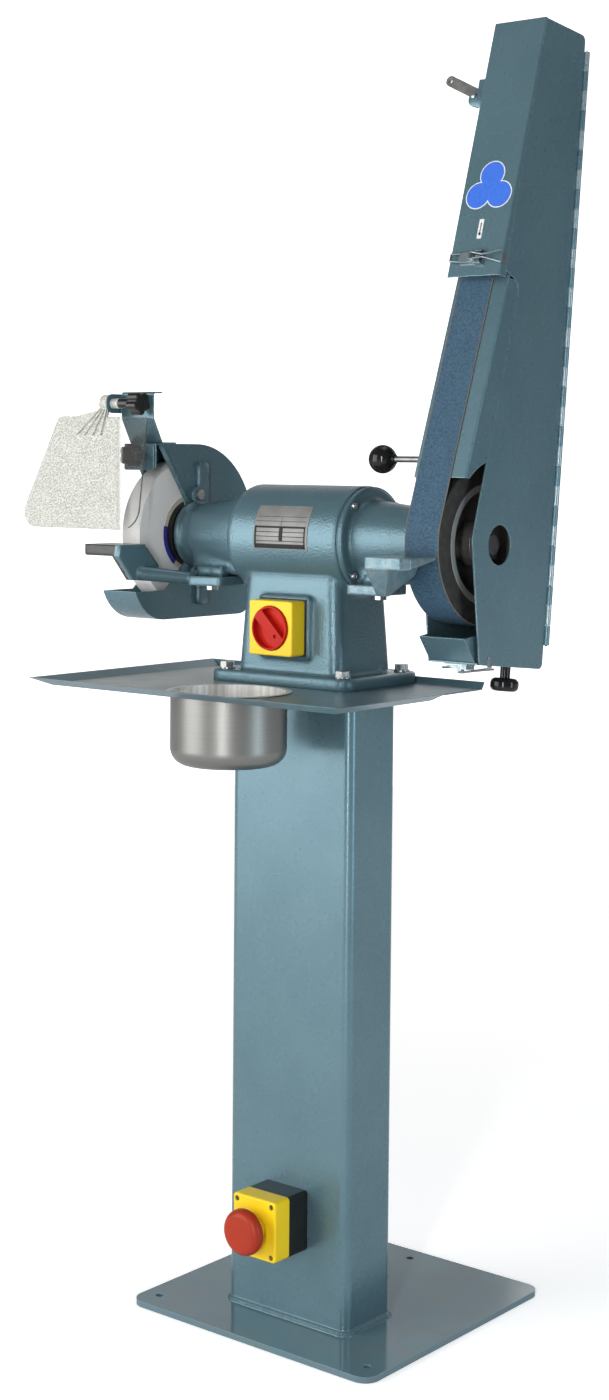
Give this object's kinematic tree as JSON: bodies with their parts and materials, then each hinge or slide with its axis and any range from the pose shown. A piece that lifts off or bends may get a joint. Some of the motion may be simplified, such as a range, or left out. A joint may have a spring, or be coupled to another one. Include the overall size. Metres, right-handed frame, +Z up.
{
  "type": "pedestal grinder",
  "caption": "Floor-standing grinder: plated column with tray and pot, motor with a guarded grinding wheel at one end and a tall belt grinding arm at the other.",
  "frame": {"origin": "centre of the base plate's underside", "axes": "+X along the shaft towards the belt arm, -Y to the operator's side, +Z up"},
  "size_m": [0.687, 0.542, 1.6995],
  "materials": {
    "enamel": "blue-grey enamel",
    "cast_enamel": "blue-grey enamel on a casting",
    "pot_steel": "spun stainless steel",
    "bright_steel": "bright zinc plated steel",
    "motor_core": "laminated steel",
    "yellow_plastic": "yellow plastic",
    "red_plastic": "red plastic",
    "black_plastic": "black plastic",
    "grit": "white bonded abrasive",
    "paper": "paper",
    "black_steel": "black oxide steel",
    "clear_plastic": "clear pebbled plastic",
    "aluminium": "turned aluminium",
    "black_rubber": "black rubber",
    "abrasive_cloth": "blue abrasive cloth"
  },
  "bodies": {
    "stand": {"base_plate": "enamel", "column": "enamel", "top_plate": "enamel", "drip_tray": "enamel", "motor_housing": "cast_enamel", "end_bell": "cast_enamel", "end_bell_screws": "bright_steel", "foot_bolts": "bright_steel", "stator": "motor_core", "shaft_bearings": "bright_steel", "switch_box": "yellow_plastic", "wheel_guard": "enamel", "guard_cover": "enamel", "guard_screws": "bright_steel", "rest_bolts": "bright_steel", "shield_bracket": "enamel", "estop_base": "black_plastic", "estop_cover": "yellow_plastic", "belt_housing": "enamel", "front_cover": "enamel", "hinge_fixed": "enamel", "hinge_pin": "enamel", "platen": "enamel", "spark_chute": "enamel", "abrasive_belt": "abrasive_cloth", "tension_spring": "bright_steel", "latch_bases": "bright_steel"},
    "spindle": {"shaft": "bright_steel", "rotor": "motor_core", "grinding_wheel": "grit", "wheel_blotters": "paper", "wheel_flanges": "black_steel", "wheel_nut": "bright_steel", "contact_hub": "aluminium", "contact_tyre": "black_rubber", "contact_nut": "bright_steel"},
    "carriage": {"tension_bar": "bright_steel"},
    "yoke": {"idler_yoke": "bright_steel"},
    "idler": {"idler_wheel": "aluminium", "idler_bearings": "bright_steel"},
    "tension_lever": {"tension_lever": "bright_steel", "ball_knob": "black_plastic"},
    "tracking_lever": {"tracking_lever": "bright_steel"},
    "door": {"belt_door": "enamel", "hinge_moving": "enamel", "latch_catches": "enamel"},
    "front_latch_lever": {"front_latch_lever": "bright_steel"},
    "front_latch_loop": {"front_latch_loop": "bright_steel"},
    "bottom_latch_lever": {"bottom_latch_lever": "bright_steel"},
    "bottom_latch_loop": {"bottom_latch_loop": "bright_steel"},
    "bottom_knob": {"bottom_knob": "black_plastic"},
    "left_rest": {"left_rest": "cast_enamel"},
    "right_rest": {"right_rest": "cast_enamel"},
    "deflector": {"spark_deflector": "enamel"},
    "deflector_knob": {"deflector_knob": "black_plastic"},
    "eye_shield": {"eye_shield": "clear_plastic"},
    "shield_knob": {"shield_knob": "black_plastic"},
    "switch_knob": {"switch_knob": "red_plastic"},
    "estop_button": {"estop_button": "red_plastic"},
    "water_pot": {"water_pot": "pot_steel"}
  },
  "joints": [
    {"name": "spindle_spin", "type": "hinge", "parent": "stand", "child": "spindle", "pos_m": [0, -0.063, 1.039], "axis": [1, 0, 0], "continuous": true},
    {"name": "tension_lever_turn", "type": "hinge", "parent": "stand", "child": "tension_lever", "pos_m": [0, -0.04792, 1.16899], "axis": [-1, 0, 0], "range_deg": [0, 50]},
    {"name": "carriage_slide", "type": "slide", "parent": "stand", "child": "carriage", "axis": [0, -0.2284, -0.9736], "range_m": [0, 0.01353], "deforming": ["tension_spring"]},
    {"name": "tracking_turn", "type": "hinge", "parent": "stand", "child": "tracking_lever", "pos_m": [0.206, 0.04401, 1.61786], "axis": [0, 0.9736, -0.2284], "range_deg": [-4, 4]},
    {"name": "yoke_tilt", "type": "hinge", "parent": "carriage", "child": "yoke", "pos_m": [0.2415, 0.06168, 1.57057], "axis": [0, 0.9736, -0.2284], "range_deg": [-3, 3]},
    {"name": "idler_spin", "type": "hinge", "parent": "yoke", "child": "idler", "pos_m": [0, 0.07218, 1.61536], "axis": [1, 0, 0], "continuous": true},
    {"name": "door_hinge", "type": "hinge", "parent": "stand", "child": "door", "pos_m": [0.2885, 0.05883, 1.02619], "axis": [0, 0.1045, 0.9945], "range_deg": [0, 165]},
    {"name": "front_latch_turn", "type": "hinge", "parent": "stand", "child": "front_latch_lever", "pos_m": [0.256, -0.06925, 1.39438], "axis": [0, 0.2962, 0.9551], "range_deg": [0, 100]},
    {"name": "front_loop_turn", "type": "hinge", "parent": "front_latch_lever", "child": "front_latch_loop", "pos_m": [0.247, -0.07593, 1.39645], "axis": [0, 0.2962, 0.9551], "range_deg": [-160, 0]},
    {"name": "bottom_latch_turn", "type": "hinge", "parent": "stand", "child": "bottom_latch_lever", "pos_m": [0.256, -0.08402, 0.88686], "axis": [0, -0.9945, 0.1045], "range_deg": [0, 90]},
    {"name": "bottom_loop_turn", "type": "hinge", "parent": "bottom_latch_lever", "child": "bottom_latch_loop", "pos_m": [0.247, -0.08475, 0.8799], "axis": [0, -0.9945, 0.1045], "range_deg": [-144, 0]},
    {"name": "bottom_knob_turn", "type": "hinge", "parent": "stand", "child": "bottom_knob", "pos_m": [0.259, -0.00105, 0.88217], "axis": [0, 0.1045, 0.9945], "continuous": true},
    {"name": "left_rest_slide", "type": "slide", "parent": "stand", "child": "left_rest", "axis": [0, -1, 0], "range_m": [-0.002, 0.011]},
    {"name": "right_rest_slide", "type": "slide", "parent": "stand", "child": "right_rest", "axis": [0, -1, 0], "range_m": [-0.001, 0.011]},
    {"name": "deflector_slide", "type": "slide", "parent": "stand", "child": "deflector", "axis": [0, 0, -1], "range_m": [0, 0.012]},
    {"name": "deflector_knob_turn", "type": "hinge", "parent": "stand", "child": "deflector_knob", "pos_m": [-0.239, -0.145, 1.1465], "axis": [0, -1, 0], "continuous": true},
    {"name": "shield_tilt", "type": "hinge", "parent": "stand", "child": "eye_shield", "pos_m": [0, -0.168, 1.2165], "axis": [-1, 0, 0], "range_deg": [-5, 75]},
    {"name": "shield_knob_turn", "type": "hinge", "parent": "stand", "child": "shield_knob", "pos_m": [0, -0.168, 1.2165], "axis": [1, 0, 0], "continuous": true},
    {"name": "switch_turn", "type": "hinge", "parent": "stand", "child": "switch_knob", "pos_m": [0, -0.063, 0.925], "axis": [0, -1, 0], "range_deg": [0, 90]},
    {"name": "estop_push", "type": "slide", "parent": "stand", "child": "estop_button", "axis": [0, 1, 0], "range_m": [0, 0.005], "stiffness_N_per_m": 800},
    {"name": "pot_lift", "type": "slide", "parent": "stand", "child": "water_pot", "axis": [0, 0, 1], "range_m": [0, 0.035]}
  ],
  "couplings": [
    {"joint": "carriage_slide", "follows": "tension_lever_turn", "m_per_rad": 0.015497},
    {"joint": "yoke_tilt", "follows": "tracking_turn", "ratio": -0.574},
    {"joint": "idler_spin", "follows": "spindle_spin", "ratio": 3.3333},
    {"joint": "front_loop_turn", "follows": "front_latch_turn", "ratio": -1.6},
    {"joint": "bottom_loop_turn", "follows": "bottom_latch_turn", "ratio": -1.6}
  ]
}
